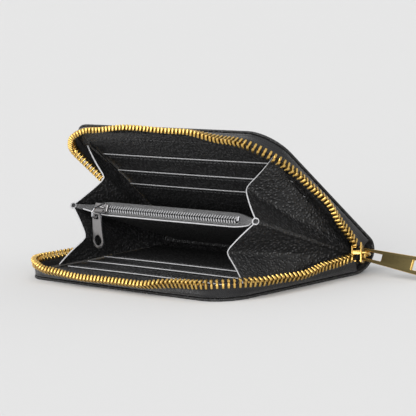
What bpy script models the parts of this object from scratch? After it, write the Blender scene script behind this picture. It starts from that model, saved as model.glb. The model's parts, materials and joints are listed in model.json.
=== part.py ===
"""Zip around wallet, lying on its lower cover and standing open.

The wallet is drawn shut, lying flat: x runs along the spine, y from the mouth (-) to the
spine (+), z up, and the origin is on the table below the middle. Two empties on the fold
line then swing the coin pocket up by half the opening angle and the upper cover by all of it.
Each cover is a stack: leather, stiffener board, lining and three card slots.
"""
import math

import bmesh
import bpy
from mathutils import Matrix, Vector

# ---- driving dimensions (metres, radians) ----
LENGTH = 0.149
HEIGHT = 0.099
THICKNESS = 0.020
OPENING = math.radians(42.8)
CORNER_RADIUS = 0.016
GAP = 0.0003

MOUTH_Y = -HEIGHT / 2
PANEL_BACK_Y = 0.0355
MID_Z = THICKNESS / 2
FOLD_Y = 0.0377
FOLD_Z = 0.0014

LEATHER = 0.0012
BOARD = 0.0007
LINING = 0.0005
CARD_LEATHER = 0.0004
LINING_INSET = 0.0012
BOARD_INSET = 0.0062
CARD_HALF_WIDTH = 0.0640
CARD_BACK_Y = 0.0330
CARD_SETBACKS = (0.0210, 0.0340, 0.0450)

TAPE = 0.0005
TAPE_WIDTH = 0.0056
TAPE_FLANGE = 0.0045
TAPE_BEND_INSET = 0.0006
TEETH_RADIUS = 0.0011
LOWER_ZIP_END_Y = 0.0330
UPPER_ZIP_END_Y = 0.0262
STOP_SIZE = (0.0030, 0.0036, 0.0026)

POCKET_HALF_LENGTH = 0.0592
POCKET_HALF_THICKNESS = 0.0040
POCKET_LEATHER = 0.0007
POCKET_MOUTH_Y = -0.0205
POCKET_BACK_Y = 0.0310
COIN_TAPE = 0.0004
COIN_COIL_RADIUS = 0.0006
COIN_TAPE_HALF_LENGTH = 0.0585
COIN_ZIP_Z = MID_Z + 0.0014

GUSSET_LEATHER = 0.0006
GUSSET_REACH = 0.0640
GUSSET_ROOT = 0.0080
GUSSET_SPANS = 6

OUTER_SLIDER_Y = 0.0364
OUTER_SLIDER_LENGTH = 0.0100
OUTER_SLIDER_HALF_HEIGHT = 0.0042
OUTER_SLIDER_X = LENGTH / 2 + 0.0002
OUTER_SLIDER_PLATE = 0.0026
OUTER_SLIDER_CHANNEL = 0.0014
OUTER_PULL_LENGTH = 0.0370
OUTER_PULL_DROOP = math.radians(5.0)

COIN_SLIDER_X = -0.0500
COIN_STOP_X = 0.0480
COIN_SLIDER_LENGTH = 0.0100
COIN_PULL_LENGTH = 0.0162
COIN_PULL_OFFSET = 0.0035
COIN_PIVOT_Y = -0.0272
COIN_PIVOT_Z = 0.00545


def clear_scene():
    for old in list(bpy.data.objects):
        bpy.data.objects.remove(old, do_unlink=True)


def make_collection(name):
    collection = bpy.data.collections.new(name)
    bpy.context.scene.collection.children.link(collection)
    return collection


def make_material(name, colour, roughness, metallic=0.0):
    material = bpy.data.materials.new(name)
    material.use_nodes = True
    shader = material.node_tree.nodes["Principled BSDF"]
    shader.inputs["Base Color"].default_value = (*colour, 1.0)
    shader.inputs["Roughness"].default_value = roughness
    shader.inputs["Metallic"].default_value = metallic
    material.diffuse_color = (*colour, 1.0)
    return material


clear_scene()
PARTS = make_collection("zip_around_wallet")
CUTTERS = make_collection("cutters")
BLACK_LEATHER = make_material("black_leather", (0.018, 0.018, 0.019), 0.45)
BOARD_STOCK = make_material("stiffener_board", (0.35, 0.31, 0.25), 0.85)
LINING_LEATHER = make_material("lining_leather", (0.022, 0.022, 0.023), 0.50)
BLACK_TAPE = make_material("black_tape", (0.015, 0.015, 0.016), 0.75)
GREY_TAPE = make_material("grey_tape", (0.24, 0.24, 0.25), 0.50)
GREY_COIL = make_material("grey_coil", (0.42, 0.42, 0.43), 0.35)
BRASS = make_material("polished_brass", (0.80, 0.58, 0.27), 0.18, 1.0)
GUNMETAL = make_material("gunmetal", (0.16, 0.15, 0.15), 0.25, 1.0)


# ---- making and placing objects ----
def add_object(name, data, material, parent=None):
    obj = bpy.data.objects.new(name, data)
    data.materials.append(material)
    PARTS.objects.link(obj)
    if parent is not None:
        obj.parent = parent
    return obj


def mesh_from(bm, name):
    mesh = bpy.data.meshes.new(name)
    bm.to_mesh(mesh)
    bm.free()
    return mesh


def add_empty(name, location, turn_x=0.0, parent=None):
    """An empty whose own frame stays that of the shut wallet, turned about a line along x."""
    empty = bpy.data.objects.new(name, None)
    PARTS.objects.link(empty)
    empty.location = location
    empty.rotation_euler = (turn_x, 0.0, 0.0)
    empty.empty_display_size = 0.01
    empty.parent = parent
    return empty


def add_modifier(obj, name, kind, **settings):
    modifier = obj.modifiers.new(name, kind)
    for key, value in settings.items():
        setattr(modifier, key, value)
    return modifier


def solidify(obj, thickness, offset=0.0):
    add_modifier(obj, "thickness", "SOLIDIFY", thickness=thickness, offset=offset)


def add_cutter(name, data, target):
    cutter = bpy.data.objects.new(name, data)
    CUTTERS.objects.link(cutter)
    cutter.parent = target.parent
    cutter.location = target.location
    cutter.rotation_euler = target.rotation_euler
    cutter.hide_render = True
    cutter.display_type = "WIRE"
    add_modifier(target, name, "BOOLEAN", operation="DIFFERENCE", object=cutter)
    return cutter


def box_bmesh(low, high):
    bm = bmesh.new()
    size = Vector(high) - Vector(low)
    middle = (Vector(high) + Vector(low)) / 2
    place = Matrix.Translation(middle) @ Matrix.Diagonal((*size, 1.0))
    bmesh.ops.create_cube(bm, size=1.0, matrix=place)
    return bm


def round_edges(bm, chosen, radius, segments):
    edges = [e for e in bm.edges if chosen(e)]
    bmesh.ops.bevel(
        bm, geom=edges, offset=radius, offset_type="OFFSET", segments=segments,
        profile=0.5, affect="EDGES",
    )


def is_upright_front(edge, front_y):
    a, b = (v.co for v in edge.verts)
    upright = abs(a.x - b.x) < 1e-6 and abs(a.y - b.y) < 1e-6
    return upright and abs(a.y - front_y) < 1e-6


def plate(name, half_width, y_span, z_span, material, parent, corner=0.0, origin=(0, 0, 0)):
    """A flat sheet given in the shut wallet's frame, with its two mouth corners rounded."""
    low = Vector((-half_width, y_span[0], z_span[0])) - Vector(origin)
    high = Vector((half_width, y_span[1], z_span[1])) - Vector(origin)
    bm = box_bmesh(low, high)
    if corner > 0:
        round_edges(bm, lambda e: is_upright_front(e, low.y), corner, 8)
    return add_object(name, mesh_from(bm, name), material, parent)


def block(name, low, high, material, parent, origin, rounding=0.0):
    """A small block in the shut wallet's frame with all its edges rounded."""
    bm = box_bmesh(Vector(low) - Vector(origin), Vector(high) - Vector(origin))
    if rounding > 0:
        round_edges(bm, lambda e: True, rounding, 2)
    return add_object(name, mesh_from(bm, name), material, parent)


# ---- lofts ----
def loft_mesh(name, rows):
    """An open surface through rows of points, each row the same length."""
    bm = bmesh.new()
    grid = [[bm.verts.new(p) for p in row] for row in rows]
    for near, far in zip(grid, grid[1:]):
        for i in range(len(near) - 1):
            bm.faces.new((near[i], near[i + 1], far[i + 1], far[i]))
    return mesh_from(bm, name)


def bezier(p0, p1, p2, p3, steps):
    points = []
    for i in range(steps + 1):
        t = i / steps
        s = 1 - t
        points.append(s**3 * p0 + 3 * s * s * t * p1 + 3 * s * t * t * p2 + t**3 * p3)
    return points


# ---- the fold line: half the opening for the pocket, all of it for the upper cover ----
FOLD = Vector((0.0, FOLD_Y, FOLD_Z))
POCKET_FRAME = add_empty("pocket_fold_line", FOLD, -OPENING / 2)
UPPER_FRAME = add_empty("upper_fold_line", FOLD, -OPENING)


def swung(point, angle):
    """A point of the shut wallet after its part has opened by angle about the fold line."""
    return FOLD + Matrix.Rotation(-angle, 3, "X") @ (Vector(point) - FOLD)


class Cover:
    """One cover's side of the wallet: the upper one is the lower one turned over."""

    def __init__(self, side):
        self.side = side
        self.is_upper = side == "upper"
        self.parent = UPPER_FRAME if self.is_upper else None
        self.origin = FOLD if self.is_upper else Vector((0, 0, 0))
        self.zip_end_y = UPPER_ZIP_END_Y if self.is_upper else LOWER_ZIP_END_Y

    def height(self, z):
        return THICKNESS - z if self.is_upper else z

    def z_span(self, bottom, thickness):
        ends = (self.height(bottom), self.height(bottom + thickness))
        return min(ends), max(ends)


# ---- covers ----
def cover_stack(cover):
    """Leather, board, lining and card slots; returns the height of each card slot's top."""
    half = LENGTH / 2
    z = 0.0
    plate(
        f"{cover.side}_cover_leather", half, (MOUTH_Y, PANEL_BACK_Y),
        cover.z_span(z, LEATHER), BLACK_LEATHER, cover.parent, CORNER_RADIUS, cover.origin,
    )
    z += LEATHER + GAP
    plate(
        f"{cover.side}_stiffener_board", half - BOARD_INSET,
        (MOUTH_Y + BOARD_INSET, PANEL_BACK_Y - LINING_INSET), cover.z_span(z, BOARD),
        BOARD_STOCK, cover.parent, CORNER_RADIUS - BOARD_INSET, cover.origin,
    )
    z += BOARD + GAP
    plate(
        f"{cover.side}_lining", half - LINING_INSET,
        (MOUTH_Y + LINING_INSET, PANEL_BACK_Y - LINING_INSET), cover.z_span(z, LINING),
        LINING_LEATHER, cover.parent, CORNER_RADIUS - LINING_INSET, cover.origin,
    )
    z += LINING + GAP
    for number, setback in enumerate(CARD_SETBACKS, start=1):
        plate(
            f"{cover.side}_card_slot_{number}", CARD_HALF_WIDTH,
            (MOUTH_Y + setback, CARD_BACK_Y), cover.z_span(z, CARD_LEATHER),
            LINING_LEATHER, cover.parent, 0.0, cover.origin,
        )
        z += CARD_LEATHER + GAP


# ---- outer zip: the tape leans out of the seam by a different angle along the way ----
TAPE_LEAN = (
    (0.000, 2), (0.060, 20), (0.130, 46), (0.190, 36), (0.268, 6), (0.330, 26), (0.430, 56),
    (0.560, 62), (0.660, 54), (0.732, 26), (0.800, 40), (0.900, 44), (1.000, 12),
)


def tape_lean(share):
    """The tape's lean from upright, in radians, at a share of the way round the mouth."""
    for (a, low), (b, high) in zip(TAPE_LEAN, TAPE_LEAN[1:]):
        if share <= b:
            t = (share - a) / (b - a)
            t = t * t * (3 - 2 * t)
            return math.radians(low + (high - low) * t)
    return math.radians(TAPE_LEAN[-1][1])


def arc_points(centre, radius, start, end, steps):
    """Points and outward directions on an arc in the xy plane."""
    points = []
    for i in range(steps + 1):
        a = start + (end - start) * i / steps
        out = Vector((math.cos(a), math.sin(a), 0.0))
        points.append((centre + radius * out, out))
    return points


def straight_points(start, end, out, steps):
    return [(start.lerp(end, i / steps), out) for i in range(1, steps)]


def mouth_path(inset, right_end):
    """(point, outward, share) round the mouth, from the slider on the right to the left rear."""
    half = LENGTH / 2 - inset
    front = MOUTH_Y + inset
    radius = CORNER_RADIUS - inset
    right = Vector((1, 0, 0))
    arc_right = arc_points(Vector((half - radius, front + radius, 0)), radius, 0, -math.pi / 2, 7)
    arc_left = arc_points(
        Vector((radius - half, front + radius, 0)), radius, -math.pi / 2, -math.pi, 7
    )
    path = [(Vector((half, right_end, 0)), right)]
    path += straight_points(path[0][0], arc_right[0][0], right, 9)
    path += arc_right
    path += straight_points(arc_right[-1][0], arc_left[0][0], Vector((0, -1, 0)), 12)
    path += arc_left
    end = Vector((-half, PANEL_BACK_Y - GAP, 0))
    path += straight_points(arc_left[-1][0], end, -right, 9)
    path.append((end, -right))
    travelled = [0.0]
    for (a, _), (b, _) in zip(path, path[1:]):
        travelled.append(travelled[-1] + (b - a).length)
    total = travelled[-1]
    return [(p, out, s / total) for (p, out), s in zip(path, travelled)]


def tape_row(cover, distance):
    """Points at a distance up the tape from the bend where it leaves the seam."""
    bend_z = LEATHER + GAP + TAPE / 2
    row = []
    for point, out, share in mouth_path(TAPE_BEND_INSET, cover.zip_end_y):
        lean = tape_lean(share)
        lifted = point + out * (distance * math.sin(lean))
        lifted.z = cover.height(bend_z + distance * math.cos(lean))
        row.append(lifted - cover.origin)
    return row


def flange_row(cover):
    """The tape's sewn edge, flat between the leather and the lining."""
    z = cover.height(LEATHER + GAP + TAPE / 2)
    path = mouth_path(TAPE_FLANGE, cover.zip_end_y)
    return [p + Vector((0, 0, z)) - cover.origin for p, _, _ in path]


def outer_zip(cover):
    name = f"{cover.side}_zip_tape"
    rows = [flange_row(cover), tape_row(cover, 0.0), tape_row(cover, TAPE_WIDTH)]
    tape = add_object(name, loft_mesh(name, rows), BLACK_TAPE, cover.parent)
    solidify(tape, TAPE)
    teeth = tape_row(cover, TAPE_WIDTH + GAP + TEETH_RADIUS)
    add_wire(f"{cover.side}_zip_teeth", teeth, TEETH_RADIUS, BRASS, cover.parent, 2)


def add_wire(name, points, radius, material, parent, resolution=2, cyclic=False):
    """A rod of round section through the points, with flat ends."""
    curve = bpy.data.curves.new(name, "CURVE")
    curve.dimensions = "3D"
    curve.bevel_depth = radius
    curve.bevel_resolution = resolution
    curve.use_fill_caps = not cyclic
    spline = curve.splines.new("POLY")
    spline.points.add(len(points) - 1)
    spline.use_cyclic_u = cyclic
    for target, point in zip(spline.points, points):
        target.co = (*point, 1.0)
    return add_object(name, curve, material, parent)


def zip_stop(name, x, cover):
    """The small metal clamp that ends a row of teeth beside the spine."""
    length, depth, height = STOP_SIZE
    y = PANEL_BACK_Y + GAP
    z = cover.height(MID_Z - 0.0022)
    low = Vector((x - length / 2, y, z - height / 2))
    high = low + Vector((length, depth, height))
    block(name, low, high, BRASS, cover.parent, cover.origin, 0.0004)


# ---- spine ----
def spine_profile(inward):
    """The spine's section from the lower panel round to the upper one, moved inwards."""
    start = Vector((0, PANEL_BACK_Y + GAP, LEATHER / 2 + inward))
    end = swung((0, PANEL_BACK_Y + GAP, THICKNESS - LEATHER / 2 - inward), OPENING)
    upper_run = Matrix.Rotation(-OPENING, 3, "X") @ Vector((0, 1, 0))
    reach = 1.0 - inward * 60
    lower_handle = start + Vector((0, 0.0136 * reach, 0))
    upper_handle = end + upper_run * 0.0068 * reach
    return bezier(start, lower_handle, upper_handle, end, 14)


def spine_sheet(name, inward, thickness, half_width, material):
    profile = spine_profile(inward)
    side = Vector((half_width, 0, 0))
    rows = [[p - side for p in profile], [p + side for p in profile]]
    sheet = add_object(name, loft_mesh(name, rows), material)
    solidify(sheet, thickness)


# ---- coin pocket ----
def pocket_plate(name, half_length, y_span, z_span):
    return plate(name, half_length, y_span, z_span, BLACK_LEATHER, POCKET_FRAME, 0.0, FOLD)


def coin_pocket():
    low = MID_Z - POCKET_HALF_THICKNESS
    high = MID_Z + POCKET_HALF_THICKNESS
    span = (POCKET_MOUTH_Y, POCKET_BACK_Y)
    pocket_plate("coin_pocket_lower_leaf", POCKET_HALF_LENGTH, span, (low, low + POCKET_LEATHER))
    pocket_plate("coin_pocket_upper_leaf", POCKET_HALF_LENGTH, span, (high - POCKET_LEATHER, high))
    back = (POCKET_BACK_Y + GAP, POCKET_BACK_Y + GAP + POCKET_LEATHER)
    pocket_plate("coin_pocket_back_fold", POCKET_HALF_LENGTH, back, (low, high))


def coin_zip():
    """Two tape halves across the pocket's mouth, with a coil along each inner edge."""
    front = POCKET_MOUTH_Y - GAP
    span = (front - COIN_TAPE, front)
    reach = 2 * COIN_COIL_RADIUS + GAP + GAP / 2
    low = (MID_Z - POCKET_HALF_THICKNESS + 0.0004, COIN_ZIP_Z - reach)
    high = (COIN_ZIP_Z + reach, MID_Z + POCKET_HALF_THICKNESS)
    for side, z_span, sign in (("lower", low, -1), ("upper", high, 1)):
        plate(
            f"coin_zip_tape_{side}", COIN_TAPE_HALF_LENGTH, span, z_span, GREY_TAPE,
            POCKET_FRAME, 0.0, FOLD,
        )
        z = COIN_ZIP_Z + sign * (COIN_COIL_RADIUS + GAP / 2)
        centre = Vector((0, front - COIN_TAPE / 2, z)) - FOLD
        left = centre - Vector((COIN_TAPE_HALF_LENGTH - 0.0010, 0, 0))
        right = centre + Vector((COIN_STOP_X - GAP, 0, 0))
        add_wire(
            f"coin_zip_coil_{side}", [left, right], COIN_COIL_RADIUS,
            GREY_COIL, POCKET_FRAME, 3,
        )


def coin_stop():
    """The end stop clamped over both coils at the right of the coin zip."""
    y = POCKET_MOUTH_Y - GAP
    low = Vector((COIN_STOP_X, y - 0.0014, COIN_ZIP_Z - 0.0012))
    high = Vector((COIN_STOP_X + 0.0018, y - COIN_TAPE - GAP / 2 + 0.0005, COIN_ZIP_Z + 0.0012))
    block("coin_zip_stop", low, high, GREY_COIL, POCKET_FRAME, FOLD, 0.0003)


# ---- gussets ----
def gusset_row(distance, half, side):
    """One section of a gusset half: cover edge, inward fold, ridge beside the pocket."""
    share = (distance - GUSSET_ROOT) / (GUSSET_REACH - GUSSET_ROOT)
    edge_x = 0.0672 + 0.0022 * share
    fold_x = 0.0655 - 0.0135 * share
    ridge_x = 0.0665 - 0.0022 * share
    upper = half == "upper"
    angle = OPENING if upper else 0.0
    inner_z = LEATHER + BOARD + LINING + 4 * GAP + GUSSET_LEATHER
    edge_z = THICKNESS - inner_z if upper else inner_z
    edge = swung((edge_x, FOLD_Y - distance, edge_z), angle)
    ridge_z = MID_Z + (1 if upper else -1) * 0.0006
    ridge = swung((ridge_x, FOLD_Y - distance, ridge_z), OPENING / 2)
    fold = edge.lerp(ridge, 0.5)
    fold.x = fold_x
    return [Vector((p.x * side, p.y, p.z)) for p in (edge, fold, ridge)]


def gusset_half(side_name, side, half):
    name = f"{side_name}_gusset_{half}"
    rows = []
    for i in range(GUSSET_SPANS + 1):
        distance = GUSSET_ROOT + (GUSSET_REACH - GUSSET_ROOT) * i / GUSSET_SPANS
        rows.append(gusset_row(distance, half, side))
    sheet = add_object(name, loft_mesh(name, rows), LINING_LEATHER)
    solidify(sheet, GUSSET_LEATHER)


# ---- outer slider ----
def outer_slider():
    """Slider on the right side beside the spine, on the line where both rows of teeth meet."""
    mid = Vector((OUTER_SLIDER_X, OUTER_SLIDER_Y, MID_Z))
    frame = add_empty("outer_slider_frame", mid - FOLD, 0.0, POCKET_FRAME)
    half = OUTER_SLIDER_LENGTH / 2
    high = OUTER_SLIDER_HALF_HEIGHT
    face = OUTER_SLIDER_PLATE
    body = block(
        "outer_slider_body", (-face, -half, -high), (face, half, high), BRASS, frame,
        (0, 0, 0), 0.0006,
    )
    reach = half + 0.001
    slot = OUTER_SLIDER_CHANNEL
    channel = box_bmesh((-slot, -reach, -0.0026), (slot, reach, 0.0026))
    add_cutter("outer_slider_channel", mesh_from(channel, "outer_slider_channel"), body)
    top = face + GAP
    arch = [
        Vector((top, -0.0032, 0)), Vector((top + 0.0016, -0.0030, 0)),
        Vector((top + 0.0023, -0.0018, 0)), Vector((top + 0.0023, 0.0018, 0)),
        Vector((top + 0.0016, 0.0030, 0)), Vector((top, 0.0032, 0)),
    ]
    add_wire("outer_slider_bridge", arch, 0.0006, BRASS, frame, 2)
    outer_pull(frame, Vector((top + 0.0010, 0, 0)))


def outline_plate(name, outline, thickness, material, parent):
    """A flat outline in the xz plane, as thick as given along y, centred on its origin."""
    curve = bpy.data.curves.new(name, "CURVE")
    curve.dimensions = "2D"
    curve.fill_mode = "BOTH"
    curve.extrude = thickness / 2
    for loop in outline:
        spline = curve.splines.new("POLY")
        spline.points.add(len(loop) - 1)
        spline.use_cyclic_u = True
        for target, (x, z) in zip(spline.points, loop):
            target.co = (x, z, 0.0, 1.0)
    obj = add_object(name, curve, material, parent)
    obj.rotation_euler = (math.pi / 2, 0, 0)
    return obj


def rounded_loop(corners, radius, steps=4):
    """A closed outline with each corner rounded by a short arc-like curve."""
    points = []
    count = len(corners)
    for i in range(count):
        before, here, after = (Vector(corners[(i + k) % count]) for k in (-1, 0, 1))
        start = here + (before - here).normalized() * radius
        end = here + (after - here).normalized() * radius
        for k in range(steps + 1):
            t = k / steps
            points.append(start * (1 - t) ** 2 + here * 2 * t * (1 - t) + end * t * t)
    return [tuple(p) for p in points]


def circle_loop(centre, radius, steps=20):
    turns = [2 * math.pi * i / steps for i in range(steps)]
    return [(centre[0] + radius * math.cos(a), centre[1] + radius * math.sin(a)) for a in turns]


def outer_pull(frame, pivot):
    """A flat bar that widens to its free end, with a window at each end."""
    hinge = add_empty("outer_pull_pivot", pivot, 0.0, frame)
    near, far = -0.0010, OUTER_PULL_LENGTH
    outline = rounded_loop(
        [(near, -0.0029), (far, -0.0043), (far, 0.0043), (near, 0.0029)], 0.0016
    )
    near_window = rounded_loop(
        [(0.0004, -0.0013), (0.0074, -0.0015), (0.0074, 0.0015), (0.0004, 0.0013)], 0.0005, 2
    )
    far_window = rounded_loop(
        [(0.0290, -0.0020), (0.0340, -0.0022), (0.0340, 0.0022), (0.0290, 0.0020)], 0.0005, 2
    )
    pull = outline_plate(
        "outer_pull", [outline, near_window, far_window], 0.0010, BRASS, hinge
    )
    pull.rotation_euler = (math.pi / 2, OUTER_PULL_DROOP, 0)


# ---- coin slider ----
def coin_slider():
    """Slider at the shut end of the coin zip, with a bail below it that carries the pull."""
    mid = Vector((COIN_SLIDER_X, POCKET_MOUTH_Y - GAP - COIN_TAPE / 2, COIN_ZIP_Z))
    frame = add_empty("coin_slider_frame", mid - FOLD, 0.0, POCKET_FRAME)
    half = COIN_SLIDER_LENGTH / 2
    body = block(
        "coin_slider_body", (-half, -0.0026, -0.0026), (half, -0.0002 - COIN_TAPE, 0.0026),
        GUNMETAL, frame, (0, 0, 0), 0.0005,
    )
    groove = box_bmesh((-half - 0.001, -0.0010, -0.0016), (half + 0.001, 0.0010, 0.0016))
    add_cutter("coin_slider_groove", mesh_from(groove, "coin_slider_groove"), body)
    pivot = Vector((0, COIN_PIVOT_Y, COIN_PIVOT_Z)) - mid
    pivot.x = COIN_PULL_OFFSET
    face = -0.0026 - GAP
    through_eye = [Vector((0, -0.0012, -0.00115)), Vector((0, 0, 0)), Vector((0, 0.0010, 0.0010))]
    in_front = [Vector((0, -0.0026, 0.0034)), Vector((0, -0.0036, 0.0014)), Vector((0, -0.0030, -0.0006))]
    bail = [Vector((pivot.x, face, 0.0012)), Vector((pivot.x, face - 0.0018, 0.0006))]
    bail += [pivot + step for step in in_front + through_eye]
    bail += [Vector((pivot.x, face - 0.0008, -0.0030)), Vector((pivot.x, face, -0.0018))]
    add_wire("coin_slider_bail", bail, 0.0005, GUNMETAL, frame, 2)
    coin_pull(frame, pivot)


def coin_pull(frame, pivot):
    """A flat pull that hangs straight down and has a round hole near its free end."""
    hinge = add_empty("coin_pull_pivot", pivot, OPENING / 2, frame)
    top, bottom = 0.0019, -COIN_PULL_LENGTH
    outline = rounded_loop([(-0.0030, top), (-0.0041, bottom), (0.0041, bottom), (0.0030, top)], 0.0010)
    eye = rounded_loop([(-0.0014, 0.0013), (-0.0014, -0.0014), (0.0014, -0.0014), (0.0014, 0.0013)], 0.0003, 2)
    hole = circle_loop((0, bottom + 0.0046), 0.0029)
    outline_plate("coin_pull", [outline, eye, hole], 0.0008, GUNMETAL, hinge)


# ---- the whole wallet ----
def build():
    for cover in (Cover("lower"), Cover("upper")):
        cover_stack(cover)
        outer_zip(cover)
        zip_stop(f"{cover.side}_zip_stop", -LENGTH / 2 + 0.0030, cover)
    spine_sheet("spine_leather", 0.0, LEATHER, LENGTH / 2, BLACK_LEATHER)
    spine_sheet("spine_lining", 0.0020, LINING, LENGTH / 2 - 0.0040, LINING_LEATHER)
    coin_pocket()
    coin_zip()
    coin_stop()
    for side_name, side in (("left", -1), ("right", 1)):
        for half in ("lower", "upper"):
            gusset_half(side_name, side, half)
    outer_slider()
    coin_slider()


build()
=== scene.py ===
# %% [markdown]
# # A zip around wallet, standing open
#
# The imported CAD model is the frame: it says where each piece is and how it moves. This
# lesson builds the looks on it, one piece at a time, and ends with the light and the camera.
# The script starts by loading the frame. Everything is in metres, x runs along the spine,
# y from the mouth to the spine and z up.

# %% Load the frame
import json
import math

import bmesh
import bpy
from mathutils import Matrix, Vector


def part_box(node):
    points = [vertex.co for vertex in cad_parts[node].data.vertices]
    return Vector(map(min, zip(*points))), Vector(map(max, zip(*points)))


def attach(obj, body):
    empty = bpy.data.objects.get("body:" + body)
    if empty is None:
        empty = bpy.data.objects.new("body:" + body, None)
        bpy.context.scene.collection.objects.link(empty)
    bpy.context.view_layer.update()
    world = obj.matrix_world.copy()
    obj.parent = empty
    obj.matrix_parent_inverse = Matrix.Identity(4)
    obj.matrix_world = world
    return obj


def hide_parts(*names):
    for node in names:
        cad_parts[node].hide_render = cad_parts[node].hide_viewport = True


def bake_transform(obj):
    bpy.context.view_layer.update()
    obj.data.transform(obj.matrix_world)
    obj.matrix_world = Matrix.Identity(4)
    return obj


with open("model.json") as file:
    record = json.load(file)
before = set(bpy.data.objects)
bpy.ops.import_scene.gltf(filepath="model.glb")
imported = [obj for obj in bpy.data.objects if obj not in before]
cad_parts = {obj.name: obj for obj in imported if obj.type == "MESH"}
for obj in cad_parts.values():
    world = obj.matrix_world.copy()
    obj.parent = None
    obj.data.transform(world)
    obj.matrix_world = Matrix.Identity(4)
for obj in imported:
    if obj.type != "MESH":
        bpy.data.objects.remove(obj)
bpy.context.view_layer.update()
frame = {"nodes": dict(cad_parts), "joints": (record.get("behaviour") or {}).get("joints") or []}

# %% [markdown]
# ## Sizes that many pieces share
#
# A wallet is easiest to think of shut: two covers lie flat, one above the other, and all
# edges are square to each other. So each piece is drawn shut and then turned open about the
# fold line, none of the way for the lower cover, half for the coin pocket and all of it for
# the upper cover. The fold line and the opening come from the frame's joints, and the
# lengths from the boxes of its nodes.

# %% Sizes from the frame
mm = 0.001
joints = {joint["name"]: joint for joint in frame["joints"]}
fold_line = Vector(joints["pocket_swing"]["pos_m"])
half_opening = math.radians(joints["pocket_swing"]["range_deg"][1])
panel_low, panel_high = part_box("lower_cover_leather")
half_length = panel_high.x
mouth_y, panel_back_y = panel_low.y, panel_high.y
leather_thickness = panel_high.z
wallet_thickness = 20 * mm
middle_z = wallet_thickness / 2
corner_radius = 16 * mm
sides = (("lower", 0), ("upper", 1))
ends = (("left", -1), ("right", 1))
print(f"{2000 * half_length:.0f} mm long, open by {math.degrees(2 * half_opening):.1f} degrees")

# %% [markdown]
# ## Helpers for modelling by hand
#
# Each helper does what a person does with the mouse: add a primitive, pick some faces or
# edges, run one tool. An operator acts on everything that is selected, so each one starts
# by deselecting all. In background mode a positive turn about x goes from z towards y, which
# is the way a cover opens.

# %% Selecting
def deselect_all():
    if bpy.context.mode != "OBJECT":
        bpy.ops.object.mode_set(mode="OBJECT")
    bpy.ops.object.select_all(action="DESELECT")


def pick(*pieces):
    deselect_all()
    for piece in pieces:
        piece.select_set(True)
    bpy.context.view_layer.objects.active = pieces[0]


def edit(piece):
    pick(piece)
    bpy.ops.object.mode_set(mode="EDIT")


def leave_edit():
    bpy.ops.object.mode_set(mode="OBJECT")


def start_picking(piece, faces):
    """In edit mode, nothing selected; picks faces or else edges from now on."""
    bpy.context.tool_settings.mesh_select_mode = (False, not faces, faces)
    bpy.ops.mesh.select_all(action="DESELECT")
    return bmesh.from_edit_mesh(piece.data)


def fresh(name):
    """The piece that an operator has just made, under its own name."""
    piece = bpy.context.active_object
    piece.name = piece.data.name = name
    return piece


def select_faces(piece, wanted):
    """In edit mode, selects the faces whose centre and normal are wanted."""
    mesh = start_picking(piece, True)
    for face in mesh.faces:
        face.select_set(bool(wanted(face.calc_center_median(), face.normal)))
    bmesh.update_edit_mesh(piece.data)


def select_edges(piece, wanted):
    """In edit mode, selects the edges whose two ends are wanted."""
    mesh = start_picking(piece, False)
    for edge in mesh.edges:
        edge.select_set(bool(wanted(edge.verts[0].co, edge.verts[1].co)))
    bmesh.update_edit_mesh(piece.data)


# %% Placing, turning and finishing
def settle(piece):
    """Puts the piece's place, turn and size into its mesh."""
    pick(piece)
    bpy.ops.object.transform_apply(location=True, rotation=True, scale=True)
    return piece


def turned(piece, angle, axis, centre):
    pick(piece)
    bpy.ops.transform.rotate(value=angle, orient_axis=axis, center_override=centre)
    return settle(piece)


def opened(piece, share):
    """Turns a piece that is drawn shut open: 0 lower cover, 1 coin pocket, 2 upper cover."""
    return turned(piece, share * half_opening, "X", fold_line)


def opened_point(point, share):
    return fold_line + opened_direction(Vector(point) - fold_line, share)


def opened_direction(direction, share):
    return Matrix.Rotation(-share * half_opening, 3, "X") @ Vector(direction)


def add_modifier(piece, kind, **settings):
    """Adds one modifier and applies it."""
    pick(piece)
    modifier = piece.modifiers.new(kind.lower(), kind)
    for name, value in settings.items():
        setattr(modifier, name, value)
    bpy.ops.object.modifier_apply(modifier=modifier.name)
    return piece


def bevelled(piece, width, segments, angle=30):
    """Rounds the edges that turn by more than the angle."""
    return add_modifier(
        piece, "BEVEL", width=width, segments=segments, limit_method="ANGLE",
        angle_limit=math.radians(angle),
    )


def smooth(piece, angle=35):
    pick(piece)
    bpy.ops.object.shade_smooth_by_angle(angle=math.radians(angle))
    return piece


def joined(name, pieces):
    """Joins finished pieces into one."""
    pick(*pieces)
    bpy.ops.object.join()
    return fresh(name)


# %% Starting shapes
def add_block(name, low, high, rounding=0.0, segments=2):
    """A block between two corners, with all its edges rounded."""
    deselect_all()
    low, high = Vector(low), Vector(high)
    bpy.ops.mesh.primitive_cube_add(size=1, location=(low + high) / 2, scale=high - low)
    piece = settle(fresh(name))
    if rounding > 0:
        edit(piece)
        bpy.ops.mesh.select_all(action="SELECT")
        bpy.ops.mesh.bevel(offset=rounding, segments=segments, affect="EDGES")
        leave_edit()
    return piece


def add_panel(name, low, high, corner=0.0, rim=0.0, back_corner=0.0):
    """A flat sheet between two corners, its mouth corners rounded and its rims softened."""
    piece = add_block(name, low, high)
    front, back = min(low[1], high[1]), max(low[1], high[1])
    edit(piece)
    for radius, y in ((corner, front), (back_corner, back)):
        if radius > 0:
            select_edges(piece, lambda a, b: abs(a.z - b.z) > 1e-6 and abs(a.y - y) < 1e-6)
            bpy.ops.mesh.bevel(offset=radius, segments=10, affect="EDGES")
    if rim > 0:
        select_edges(piece, lambda a, b: abs(a.z - b.z) < 1e-7)
        bpy.ops.mesh.bevel(offset=rim, segments=2, affect="EDGES")
    leave_edit()
    return piece


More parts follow.
